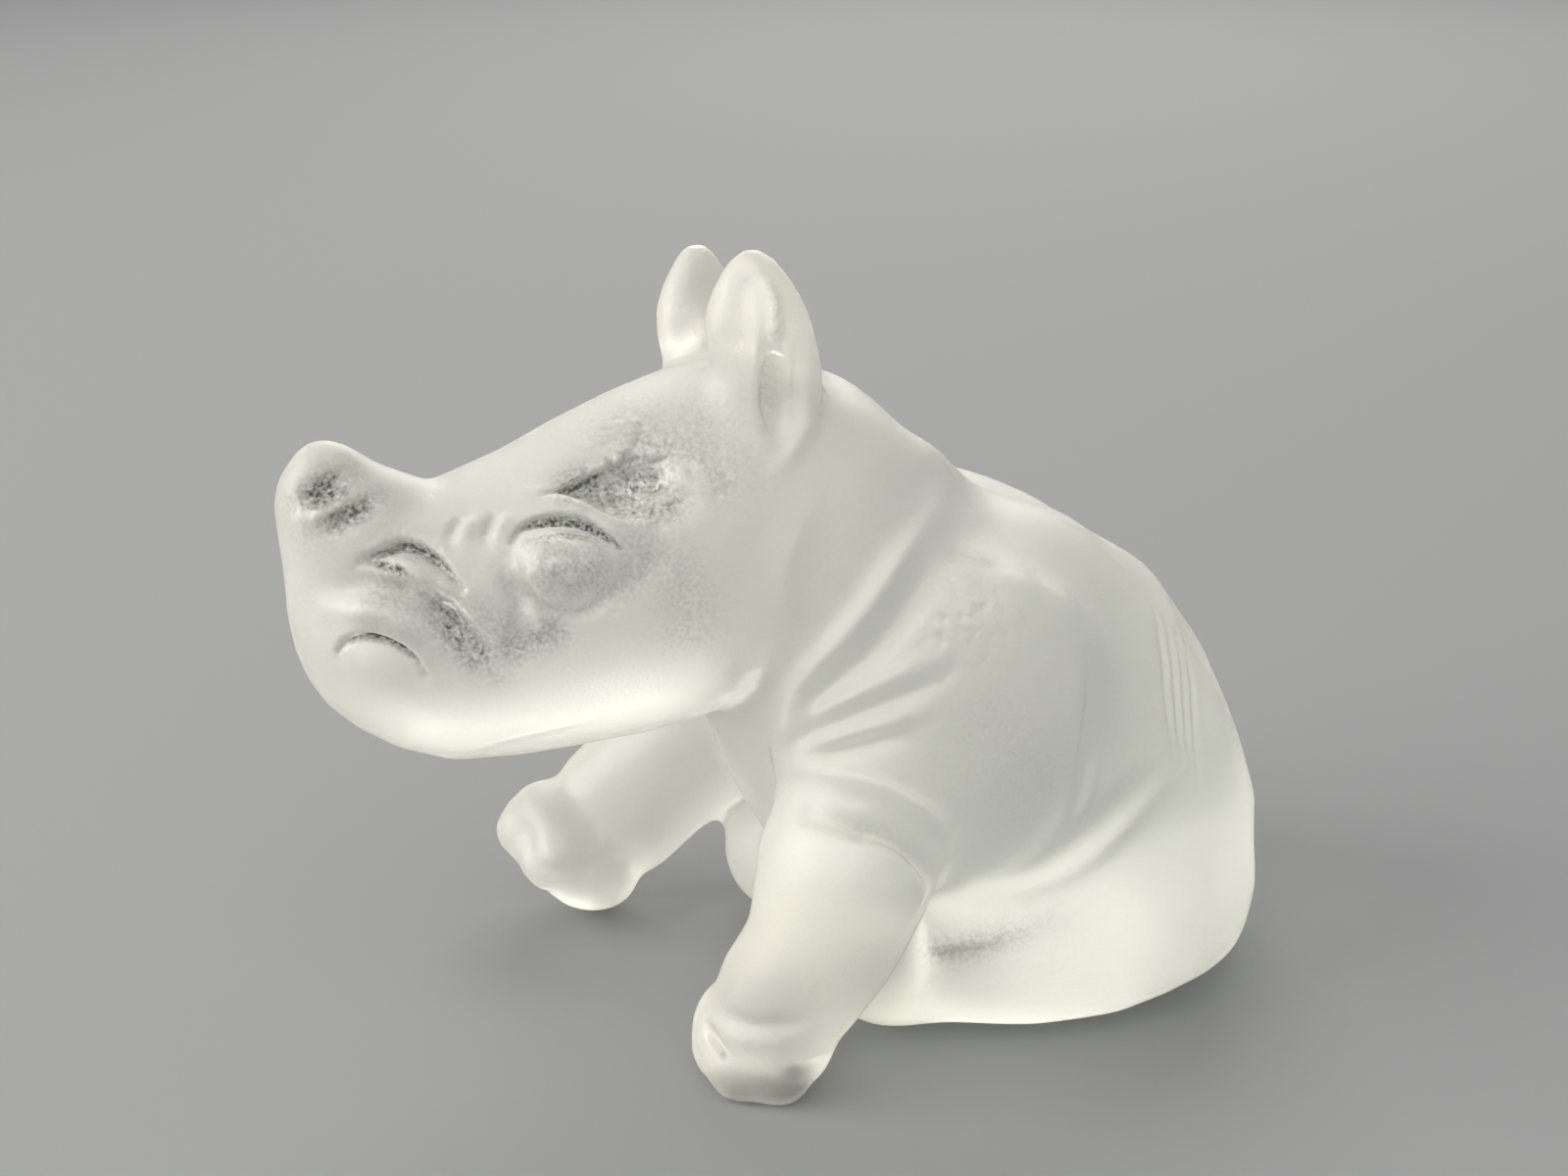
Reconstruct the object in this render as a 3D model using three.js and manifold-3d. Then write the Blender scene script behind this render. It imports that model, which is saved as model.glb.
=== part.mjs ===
// Seated rhinoceros calf, a frosted glass figurine about 94 mm long.
// Millimetres. +X points to the nose, +Y to the animal's left, +Z up. It sits on the plane z = 0,
// with the origin under the middle of its length and width.
import * as THREE from "three";
import { mergeVertices } from "three/addons/utils/BufferGeometryUtils.js";
import Module from "manifold-3d";

const wasm = await Module();
wasm.setup();

// Gap between two neighbouring pieces.
const CLEARANCE = 0.3;

// A station of a form lies at a share of the way along it, moved from the straight line between the form's
// ends: lowered by its drop, and ahead or outward. It has a full width across, and it reaches up and down.

// The trunk leans back on its seat and rises from the rump to the withers.
const TRUNK_LENGTH = 54;
const TRUNK_RISE = 39;
const RUMP_END_HEIGHT = 9;
const RUMP = { along: 0.17, drop: 1.5, width: 34, up: 10.6, down: 17 };
const RIBS = { along: 0.41, drop: 1.9, width: 43, up: 18, down: 27 };
const CHEST = { along: 0.63, drop: 1.6, width: 43, up: 19.2, down: 24 };
const SHOULDERS = { along: 0.81, drop: 0.8, width: 36, up: 13.1, down: 18 };

// The neck is a thick collar. Its ends and the back of the skull are placed from the withers.
const NECK_ROOT = { x: -21, y: 0, z: -12 };
const NECK_END = { x: 6, y: 0, z: -2 };
const NAPE_FOLD = { along: 0.26, drop: -2.4, width: 31, up: 13.2, down: 17 };
const THROAT_FOLD = { along: 0.63, drop: -2.7, width: 31, up: 16.2, down: 17 };

// The head runs from the back of the skull to the lip. It leans to its right by an angle, in degrees,
// about a line along X that lies below the withers.
const SKULL_BACK = { x: -15, y: 0, z: -0.5 };
const HEAD_LENGTH = 54.2;
const HEAD_FALL = 2.7;
const HEAD_LEAN = 6.5;
const LEAN_AXIS_DEPTH = 2;
const SKULL = { along: 0.2, drop: -0.5, width: 28, up: 15, down: 15.5 };
const CHEEKS = { along: 0.42, drop: 0.4, width: 27, up: 13.7, down: 16.4 };
const EYE_LINE = { along: 0.61, drop: 1.4, width: 24.3, up: 11.2, down: 15.6 };
const SNOUT = { along: 0.775, drop: 1.8, width: 21, up: 9.6, down: 14.4 };
const NOSE = { along: 0.905, drop: 1.1, width: 16, up: 8.6, down: 10.4 };

// Horn: a blunt stub on the nose, with a sunk root. Its stations reach up to the front and down to the rear.
const HORN_HEIGHT = 6.2;
const HORN_ROOT_DEPTH = 10;
const HORN_TIP_AHEAD = 2.9;
const HORN_BASE = { along: 0.39, width: 13, up: 5.2, down: 12.6 };
const HORN_STUB = { along: 0.75, width: 8.5, up: 4.4, down: 5.5 };

// Ears: leaves with sunk roots, turned outwards by an angle, with a hollow in the outer face. The right one
// is shorter.
const EAR_HEIGHT_LEFT = 12;
const EAR_HEIGHT_RIGHT = 11.2;
const EAR_ROOT = { x: -2, y: -1, z: -7 };
const EAR_TIP_AHEAD = 0.6;
const EAR_TURN = 35;
const EAR_BASE = { along: 0.3, outward: 0.7, width: 7, up: 4.7 };
const EAR_LEAF = { along: 0.65, outward: 1.3, width: 6.3, up: 5.2, down: 4 };
const EAR_HOLLOW_LENGTH = 4;
const EAR_HOLLOW_HEIGHT = 9;
const EAR_HOLLOW_DEPTH = 1.8;

// Eyes: low domes in the sides of the head, raised at the front by an angle.
const EYE_LENGTH = 9.3;
const EYE_HEIGHT = 7.4;
const EYE_THICKNESS = 6;
const EYE_PROUD = 1.5;
const EYE_TILT = 15;

// Shoulder plates: shallow shields on the flanks.
const PLATE_LENGTH = 27;
const PLATE_HEIGHT = 34;
const PLATE_THICKNESS = 10;
const PLATE_PROUD = 1.6;

// Front legs, each from a shoulder joint to a sole. Both are placed from the withers, but a sole's height is
// from the ground. The left leg stands; the right one is stretched forward on its heel. An ankle ends at a
// depth inside the foot, and a sole has the way it faces and the way its toes point.
const FORELEG_LEFT = {
  joint: { x: -7, y: 16, z: -18 },
  upperArm: { along: 0.29, ahead: -0.6, outward: 1.7, width: 15.5, up: 8, down: 9 },
  forearm: { along: 0.61, ahead: -0.2, outward: 2.3, width: 13, up: 6.4, down: 7 },
  ankle: { along: 0.82, ahead: 1.1, outward: 1, width: 12, up: 6, down: 6 },
  ankleDepth: 2,
  sole: { x: 2.9, y: 16.5, height: 0, length: 13 },
  faces: new THREE.Vector3(0, 0, -1),
  toes: new THREE.Vector3(1, 0.6, 0),
};
const FORELEG_RIGHT = {
  joint: { x: -12, y: -14, z: -20 },
  upperArm: { along: 0.29, ahead: -0.3, outward: 1.3, width: 15.5, up: 8, down: 9 },
  forearm: { along: 0.6, ahead: -0.1, outward: 1.4, width: 13, up: 6.2, down: 9 },
  ankle: { along: 0.83, ahead: 0.2, outward: 1, width: 12, up: 5.7, down: 8.8 },
  ankleDepth: 3.5,
  sole: { x: 12.9, y: -20, height: 4.6, length: 16 },
  faces: new THREE.Vector3(0.75, -0.05, -0.65),
  toes: new THREE.Vector3(0.65, 0, 0.75),
};

// Front feet, with three toes spread by an angle.
const FOOT_WIDTH = 13;
const FOOT_HEIGHT = 10;
const INSTEP_DROP = 4.6;
const TOE_WIDTH = 6.4;
const TOE_HEIGHT = 7.6;
const TOE_SPREAD = 52;

// Hind legs, lying along the ground from a hip that is placed from the end of the rump, and their feet.
const HIP = { x: 7, y: 10, z: 1 };
const HIND_LEG_LENGTH = 38;
const HIND_LEG_SPLAY = 5;
const HIND_LEG_FALL = 2;
const THIGH = { along: 0.18, drop: -0.4, outward: 1.9, width: 19, up: 11, down: 10 };
const KNEE = { along: 0.47, drop: -0.4, outward: 3.4, width: 19, up: 11, down: 9.5 };
const SHANK = { along: 0.82, drop: 0.4, outward: 0.3, width: 15, up: 8, down: 7.4 };
const HIND_FOOT = { length: 15, width: 13, height: 14, sunk: 3, inward: 2.2 };

// Tail: low relief on the rump.
const TAIL_WIDTH = 3.6;
const TAIL_PROUD = 1.6;

// Places on a form: how far along its spine, from 0 to 1, and the angle up from its left side, in degrees.
const EYE_PLACE = { along: 0.51, angle: 19 };
const EAR_PLACE = { along: 0.195, angle: 60 };
const HORN_PLACE = { along: 0.86, angle: 90 };
const PLATE_PLACE = { along: 0.71, angle: -10 };
const HOLLOW_PLACE = { along: 0.4, angle: -35 };
const TAIL_PLACES = [
  { along: 0.3, angle: 90 },
  { along: 0.22, angle: 93 },
  { along: 0.15, angle: 97 },
  { along: 0.09, angle: 102 },
];

// Folds: grooves along places on the head or the trunk, with a width and a depth below and above a line that
// may be raised from the form. They are cut into every piece that they cross.
const FACE_FOLDS = {
  brow: { width: 4, depth: 1.5, along: [0.47, 0.42, 0.37, 0.32], angles: [48, 42, 38, 41] },
  upperLid: { width: 1.6, depth: 0.9, along: [0.58, 0.53, 0.48, 0.45, 0.41], angles: [30, 38, 34, 28, 12] },
  lowerLid: { width: 1.6, depth: 0.8, along: [0.58, 0.555, 0.51, 0.455, 0.41], angles: [25, 9, 0, 2, 11] },
  bridge: { width: 2, depth: 1.1, along: [0.85, 0.78, 0.73, 0.66], angles: [37, 44, 39, 17] },
  muzzle: { width: 3, depth: 1.3, along: [0.83, 0.73, 0.695, 0.64], angles: [21, 15, 2, -14] },
  nostril: { width: 1.3, depth: 0.9, along: [0.905, 0.855, 0.795, 0.73], angles: [-22, -7, -7, -20] },
  cheek: { width: 2.4, depth: 0.8, along: [0.62, 0.585, 0.53], angles: [-12, -9, -6] },
};
const FLANK_FOLDS = {
  neck: { width: 3, depth: 1.1, raised: 2.2, along: [0.8, 0.825, 0.835, 0.81], angles: [40, 15, -18, -40] },
  shield: { width: 2, depth: 1.1, raised: 1.8, along: [0.82, 0.825, 0.8, 0.76], angles: [-36, -24, -13, 2] },
};

// Mesh fineness: points around a ring and rings along a spine.
const TRUNK_FINENESS = [28, 18];
const LIMB_FINENESS = [20, 14];
const DOME_FINENESS = [16, 10];
const FOLD_FINENESS = [8, 10];

// The glass is etched to a satin all over, and the eyes are rubbed smoother.
const satin = new THREE.MeshStandardMaterial({ color: 0xe8ebe8, roughness: 0.5, metalness: 0 });
const rubbed = new THREE.MeshStandardMaterial({ color: 0xdfe3e2, roughness: 0.3, metalness: 0 });

const FORWARD = new THREE.Vector3(1, 0, 0);
const UPWARD = new THREE.Vector3(0, 0, 1);
const { degToRad } = THREE.MathUtils;

// A rounded end of a form.
const end = (place) => ({ place, width: 0, up: 0, down: 0 });

// The rings of a form from one end to the other, with stations between.
// Side is 1 on the left and -1 on the right.
function ringsOf(from, to, stations, side = 1) {
  const between = stations.map(({ along, ahead = 0, outward = 0, drop = 0, width, up, down = up }) => {
    const place = from.clone().lerp(to, along).add(new THREE.Vector3(ahead, side * outward, -drop));
    return { place, width, up, down };
  });
  return [end(from), ...between, end(to)];
}

// A closed rounded form on a spine, made by bending a unit sphere along it.
class Form {
  constructor(rings, { front = UPWARD, turn = new THREE.Matrix4(), fineness = LIMB_FINENESS } = {}) {
    this.front = front;
    this.turn = turn;
    this.fineness = fineness;
    this.spine = new THREE.CatmullRomCurve3(rings.map((r) => r.place));
    // Squared half sizes, so that an end closes as a round cap.
    this.sizes = new THREE.CatmullRomCurve3(
      rings.map((r) => new THREE.Vector3((r.width / 2) ** 2, r.up ** 2, r.down ** 2)),
    );
  }

  // The point of the surface at t along the spine, at an angle around it from the side to the top.
  point(t, angle) {
    const along = this.spine.getTangent(t);
    const side = new THREE.Vector3().crossVectors(this.front, along).normalize();
    const up = new THREE.Vector3().crossVectors(along, side);
    const size = this.sizes.getPoint(t);
    const reach = Math.sin(angle) > 0 ? size.y : size.z;
    return this.spine
      .getPoint(t)
      .addScaledVector(side, Math.cos(angle) * Math.sqrt(Math.max(0, size.x)))
      .addScaledVector(up, Math.sin(angle) * Math.sqrt(Math.max(0, reach)))
      .applyMatrix4(this.turn);
  }

  // A frame on the surface: X along the spine and Z straight out of it.
  seat(t, angle) {
    const step = 1e-3;
    const place = this.point(t, angle);
    const along = this.point(t + step, angle).sub(place).normalize();
    const around = this.point(t, angle + step).sub(place);
    const out = new THREE.Vector3().crossVectors(around, along).normalize();
    const aside = new THREE.Vector3().crossVectors(out, along);
    return new THREE.Matrix4().makeBasis(along, aside, out).setPosition(place);
  }

  geometry() {
    const sphere = new THREE.SphereGeometry(1, ...this.fineness);
    const place = sphere.getAttribute("position");
    for (let i = 0; i < place.count; i++) {
      const p = this.point((1 - place.getY(i)) / 2, Math.atan2(place.getZ(i), place.getX(i)));
      place.setXYZ(i, p.x, p.y, p.z);
    }
    return bare(sphere);
  }
}

// A geometry with only its positions, its shared points merged.
function bare(geometry) {
  geometry.deleteAttribute("normal");
  geometry.deleteAttribute("uv");
  return mergeVertices(geometry);
}

// An ellipsoid of three full sizes, placed by a matrix.
function ellipsoid(length, width, height, place) {
  const sphere = new THREE.SphereGeometry(0.5, ...DOME_FINENESS).scale(length, width, height);
  return bare(sphere.applyMatrix4(place));
}

// A geometry moved outwards along its normals by the clearance.
function swollen(geometry) {
  const grown = geometry.clone();
  grown.computeVertexNormals();
  const place = grown.getAttribute("position");
  const normal = grown.getAttribute("normal");
  const p = new THREE.Vector3();
  const n = new THREE.Vector3();
  for (let i = 0; i < place.count; i++) {
    p.fromBufferAttribute(place, i).addScaledVector(n.fromBufferAttribute(normal, i), CLEARANCE);
    place.setXYZ(i, p.x, p.y, p.z);
  }
  return grown;
}

function solid(geometry) {
  const mesh = new wasm.Mesh({
    numProp: 3,
    vertProperties: geometry.getAttribute("position").array,
    triVerts: new Uint32Array(geometry.index.array),
  });
  return new wasm.Manifold(mesh);
}

function toGeometry(body) {
  const made = body.getMesh();
  const geometry = new THREE.BufferGeometry();
  geometry.setAttribute("position", new THREE.BufferAttribute(made.vertProperties, 3));
  geometry.setIndex(new THREE.BufferAttribute(made.triVerts, 1));
  return geometry;
}

// The largest body of a cut solid, without the slivers that a cut can leave.
function largest(body) {
  return body.decompose().reduce((a, b) => (a.volume() > b.volume() ? a : b));
}

// What lies on one side of a plane: the side that its normal points to.
function above(body, normal, place) {
  return body.trimByPlane(normal.toArray(), normal.dot(place));
}

// A place measured from another one, on the left side or mirrored to the right.
const from = (anchor, { x, y, z }, side = 1) => anchor.clone().add(new THREE.Vector3(x, side * y, z));
const shift = (x, y, z) => new THREE.Matrix4().makeTranslation(x, y, z);

// The angle of a place on a form's left side, or of its mirror image on the right.
const turned = (angle, side) => degToRad(side > 0 ? angle : 180 - angle);
const pointOn = (form, { along, angle }, side = 1) => form.point(along, turned(angle, side));
const seatOn = (form, { along, angle }, side = 1) => form.seat(along, turned(angle, side));

const rumpEnd = new THREE.Vector3(0, 0, RUMP_END_HEIGHT);
const withers = from(rumpEnd, { x: TRUNK_LENGTH, y: 0, z: TRUNK_RISE });
const skullBack = from(withers, SKULL_BACK);
const lip = from(skullBack, { x: HEAD_LENGTH, y: 0, z: -HEAD_FALL });

// The head and all that it carries lean together.
const leanAxisHeight = withers.z - LEAN_AXIS_DEPTH;
const lean = shift(0, 0, leanAxisHeight)
  .multiply(new THREE.Matrix4().makeRotationX(degToRad(HEAD_LEAN)))
  .multiply(shift(0, 0, -leanAxisHeight));

const torso = new Form(ringsOf(rumpEnd, withers, [RUMP, RIBS, CHEST, SHOULDERS]), {
  fineness: TRUNK_FINENESS,
});
const head = new Form(ringsOf(skullBack, lip, [SKULL, CHEEKS, EYE_LINE, SNOUT, NOSE]), {
  turn: lean,
  fineness: TRUNK_FINENESS,
});

function neck() {
  const rings = ringsOf(from(withers, NECK_ROOT), from(withers, NECK_END), [NAPE_FOLD, THROAT_FOLD]);
  return new Form(rings, { fineness: TRUNK_FINENESS }).geometry();
}

function eye(side) {
  const place = seatOn(head, EYE_PLACE, side)
    .multiply(shift(0, 0, EYE_PROUD - EYE_THICKNESS / 2))
    .multiply(new THREE.Matrix4().makeRotationZ(degToRad(-side * EYE_TILT)));
  return ellipsoid(EYE_LENGTH, EYE_HEIGHT, EYE_THICKNESS, place);
}

function shoulderPlate(side) {
  const place = seatOn(torso, PLATE_PLACE, side).multiply(shift(0, 0, PLATE_PROUD - PLATE_THICKNESS / 2));
  return ellipsoid(PLATE_LENGTH, PLATE_HEIGHT, PLATE_THICKNESS, place);
}

function horn() {
  const seat = pointOn(head, HORN_PLACE);
  const root = from(seat, { x: 0, y: 0, z: -HORN_ROOT_DEPTH });
  const tip = from(seat, { x: HORN_TIP_AHEAD, y: 0, z: HORN_HEIGHT });
  return new Form(ringsOf(root, tip, [HORN_BASE, HORN_STUB]), { front: FORWARD }).geometry();
}

function ear(side) {
  const seat = pointOn(head, EAR_PLACE, side);
  const height = side > 0 ? EAR_HEIGHT_LEFT : EAR_HEIGHT_RIGHT;
  const tip = from(seat, { x: EAR_TIP_AHEAD, y: 0, z: height });
  const front = FORWARD.clone().applyAxisAngle(UPWARD, degToRad(-side * EAR_TURN));
  const leaf = new Form(ringsOf(from(seat, EAR_ROOT, side), tip, [EAR_BASE, EAR_LEAF], side), { front });
  const hollow = seatOn(leaf, HOLLOW_PLACE, -side);
  const cut = ellipsoid(EAR_HOLLOW_HEIGHT, EAR_HOLLOW_LENGTH, 2 * EAR_HOLLOW_DEPTH, hollow);
  return toGeometry(solid(leaf.geometry()).subtract(solid(cut)));
}

// The middle of a front sole, which stands on the ground or is lifted from it.
const solePlace = ({ sole }) => new THREE.Vector3(withers.x + sole.x, withers.y + sole.y, sole.height);

function foreleg(leg, side) {
  const ankle = solePlace(leg).addScaledVector(leg.faces.clone().normalize(), -leg.ankleDepth);
  const rings = ringsOf(from(withers, leg.joint), ankle, [leg.upperArm, leg.forearm, leg.ankle], side);
  return new Form(rings, { front: FORWARD }).geometry();
}

function frontFoot(leg) {
  const { length } = leg.sole;
  const middle = solePlace(leg);
  const out = leg.faces.clone().normalize();
  const aside = new THREE.Vector3().crossVectors(out, leg.toes).normalize();
  const ahead = new THREE.Vector3().crossVectors(aside, out);
  const place = new THREE.Matrix4().makeBasis(ahead, aside, out).setPosition(middle);
  const lobe = (size, x, y, drop) => solid(ellipsoid(...size, place.clone().multiply(shift(x, y, -drop))));
  let body = lobe([length, FOOT_WIDTH, 2 * (FOOT_HEIGHT - INSTEP_DROP)], 0, 0, INSTEP_DROP);
  const reach = (length - TOE_WIDTH) / 2;
  for (const spread of [-TOE_SPREAD, 0, TOE_SPREAD]) {
    const x = reach * Math.cos(degToRad(spread));
    const y = reach * Math.sin(degToRad(spread));
    body = body.add(lobe([TOE_WIDTH, TOE_WIDTH, TOE_HEIGHT], x, y, TOE_WIDTH / 2));
  }
  return toGeometry(above(body, out.negate(), middle));
}

const hip = (side) => from(rumpEnd, HIP, side);
const hock = (side) => from(hip(side), { x: HIND_LEG_LENGTH, y: HIND_LEG_SPLAY, z: -HIND_LEG_FALL }, side);

function hindLeg(side) {
  return new Form(ringsOf(hip(side), hock(side), [THIGH, KNEE, SHANK], side)).geometry();
}

function hindFoot(side) {
  const { length, width, height, sunk, inward } = HIND_FOOT;
  const middle = from(hock(side), { x: -sunk, y: -inward, z: 0 }, side).setZ(height / 2);
  return ellipsoid(length, width, height, new THREE.Matrix4().setPosition(middle));
}

function tail() {
  const rings = TAIL_PLACES.map((place) => ({
    place: pointOn(torso, place),
    width: TAIL_WIDTH,
    up: TAIL_PROUD,
    down: TAIL_PROUD,
  }));
  const [root, tip] = [rings[0], rings.at(-1)].map((r) => end(r.place));
  return new Form([root, ...rings.slice(1, -1), tip]).geometry();
}

function fold(form, { width, depth, raised = 0, along, angles }, side) {
  const seats = along.map((share, i) => seatOn(form, { along: share, angle: angles[i] }, side));
  const rings = seats.map((seat) => {
    const place = new THREE.Vector3(0, 0, raised).applyMatrix4(seat);
    return { place, width, up: depth, down: depth };
  });
  const outward = new THREE.Vector3().setFromMatrixColumn(seats[1], 2);
  const [start, stop] = [rings[0], rings.at(-1)].map((r) => end(r.place));
  const bent = new Form([start, ...rings.slice(1, -1), stop], { front: outward, fineness: FOLD_FINENESS });
  return bent.geometry();
}

const folds = [1, -1].flatMap((side) => [
  ...Object.values(FACE_FOLDS).map((line) => solid(fold(head, line, side))),
  ...Object.values(FLANK_FOLDS).map((line) => solid(fold(torso, line, side))),
]);

// Each piece is cut by the ones above it in this list.
const pieces = {
  torso: torso.geometry(),
  eye_left: eye(1),
  eye_right: eye(-1),
  head: head.geometry(),
  neck: neck(),
  front_foot_left: frontFoot(FORELEG_LEFT),
  front_foot_right: frontFoot(FORELEG_RIGHT),
  hind_foot_left: hindFoot(1),
  hind_foot_right: hindFoot(-1),
  front_leg_left: foreleg(FORELEG_LEFT, 1),
  front_leg_right: foreleg(FORELEG_RIGHT, -1),
  hind_leg_left: hindLeg(1),
  hind_leg_right: hindLeg(-1),
  shoulder_left: shoulderPlate(1),
  shoulder_right: shoulderPlate(-1),
  horn: horn(),
  ear_left: ear(1),
  ear_right: ear(-1),
  tail: tail(),
};

const finishes = { eye_left: rubbed, eye_right: rubbed };
const ground = new THREE.Vector3();
const figurine = new THREE.Group();
const carriers = [];
for (const [name, geometry] of Object.entries(pieces)) {
  let body = above(solid(geometry), UPWARD, ground);
  for (const carrier of carriers) body = body.subtract(carrier);
  carriers.push(solid(swollen(geometry)));
  for (const groove of folds) body = body.subtract(groove);
  const mesh = new THREE.Mesh(toGeometry(largest(body)), finishes[name] ?? satin);
  mesh.name = name;
  figurine.add(mesh);
}

// Stand the figurine with the middle of its length and width over the origin.
const middle = new THREE.Box3().setFromObject(figurine).getCenter(new THREE.Vector3());
figurine.position.set(-middle.x, -middle.y, 0);

export default figurine;
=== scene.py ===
"""Seated rhinoceros calf, one casting of glass etched to a satin.

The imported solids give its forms. They are cast into one closed skin, the folds are carved into that skin
by strokes drawn in millimetres, and the glass gets its finish and stands on a pale floor.
"""
import math
from typing import NamedTuple

import bmesh
import bpy
import numpy as np
from mathutils import Matrix, Vector, noise
from mathutils.bvhtree import BVHTree


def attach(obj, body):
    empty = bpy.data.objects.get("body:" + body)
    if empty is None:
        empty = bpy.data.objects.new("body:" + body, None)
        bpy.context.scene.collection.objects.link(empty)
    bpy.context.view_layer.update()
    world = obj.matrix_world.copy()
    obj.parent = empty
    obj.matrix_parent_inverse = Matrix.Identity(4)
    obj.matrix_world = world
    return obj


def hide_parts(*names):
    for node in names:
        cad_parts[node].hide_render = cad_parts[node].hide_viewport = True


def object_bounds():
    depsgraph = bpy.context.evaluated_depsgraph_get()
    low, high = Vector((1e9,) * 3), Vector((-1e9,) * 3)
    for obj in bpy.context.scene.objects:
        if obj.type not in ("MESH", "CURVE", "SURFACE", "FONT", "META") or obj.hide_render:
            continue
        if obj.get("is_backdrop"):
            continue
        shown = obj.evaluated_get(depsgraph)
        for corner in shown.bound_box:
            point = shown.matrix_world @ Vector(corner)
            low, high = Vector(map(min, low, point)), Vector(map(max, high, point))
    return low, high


bl_info = {
    "name": "Glass rhinoceros calf",
    "version": (1, 0, 0),
    "blender": (4, 5, 0),
    "location": "View3D > Sidebar > Rhinoceros",
    "description": "Casts, carves and finishes a satin glass figurine around its packed solids",
    "category": "Object",
}

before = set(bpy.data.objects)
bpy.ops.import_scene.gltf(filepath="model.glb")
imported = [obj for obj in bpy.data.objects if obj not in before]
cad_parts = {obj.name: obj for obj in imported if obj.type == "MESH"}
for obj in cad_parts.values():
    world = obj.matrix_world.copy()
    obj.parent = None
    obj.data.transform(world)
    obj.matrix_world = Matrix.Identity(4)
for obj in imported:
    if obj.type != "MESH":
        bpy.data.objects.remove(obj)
CAD_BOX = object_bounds()

MM = 0.001
SKIN = "casting"

# The way the camera looks from, in degrees.
VIEW_AZIMUTH = 158.0
VIEW_ELEVATION = 20.0

# The head leans to its right, in degrees, about a line along X that lies this far left and up, in mm.
HEAD_LEAN = 6.5
HEAD_AXIS = (0.6, 46.0)
LEANED = (
    Matrix.Translation((0, *HEAD_AXIS))
    @ Matrix.Rotation(math.radians(HEAD_LEAN), 4, "X")
    @ Matrix.Translation((0, -HEAD_AXIS[0], -HEAD_AXIS[1]))
)
UPRIGHT = Matrix.Identity(4)

# Strokes are sampled this finely, in millimetres, and found on the skin by rays from this far out.
STROKE_STEP = 0.6
OUTSIDE = 60.0

# A mark is cut off at this many of its stroke's widths.
REACH = 3

# A bank's steep part, as a share of its stroke's width.
BANK_SHARE = 0.35

# A stroke fades towards each end over its length divided by the first number, down to the second one
# as a share of its strength. One shorter than the third number of its widths doesn't fade.
FADING_PARTS = 3
END_STRENGTH = 0.3
SHORT = 4

# A stroke thinner than this needs a finer skin, out to this distance, in millimetres.
THIN = 0.8
FINE_REACH = 1.6

# Pits lie about this far apart, in metres.
PIT_SPACING = 0.9 * MM

# Corners closer than this are one corner, in metres.
SAME_CORNER = 0.001 * MM

# Smoothing pulls each point towards its neighbours and then pushes it back, so that nothing shrinks.
# Melting only pulls.
SMOOTHING_STEPS = (0.6, -0.58)
MELTING_STEP = 0.6

# The least squared length of a line's piece, in square millimetres, so that none is divided by zero.
NO_LENGTH = 1e-9

# Where the softboxes hang and the point that they face, in metres.
KEY_PLACE = (0.75, -0.1, 0.35)
TOP_PLACE = (0.3, 0.55, 0.8)
BACK_PLACE = (-0.4, -0.7, 0.6)
SOFTBOX_AIM = (0, 0, 0.03)

# Width of the camera's sensor, in millimetres.
SENSOR = 36.0


class Stroke(NamedTuple):
    """A mark on the skin, in millimetres.

    Its points are (ahead, up) on a side view, drawn for the left flank and mirrored to the right, or
    (ahead, left, up) near the skin. Width is how far the mark fades to each side.
    """

    points: tuple
    width: float
    # Depth of the groove, or the height of a ridge if it is below zero.
    cut: float = 0.0
    # How far the bank on the left hand of the stroke's travel stands above the other one.
    step: float = 0.0
    # Share of the etched skin that is missing, which leaves bare grainy glass. Its dark colour is also
    # painted shade: it darkens the creases, lid lines and hollows, and greys the eyes and the top of the
    # head. Above 1, more of the grain is dark.
    bare: float = 0.0
    # Depth of the small pits that the mould left.
    pits: float = 0.0
    # The flanks that it is drawn on: 1 for the left one, -1 for the right one.
    sides: tuple = (1, -1)


# A stroke with these sides is drawn where its points say, and not mirrored.
ONCE = (1,)

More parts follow.
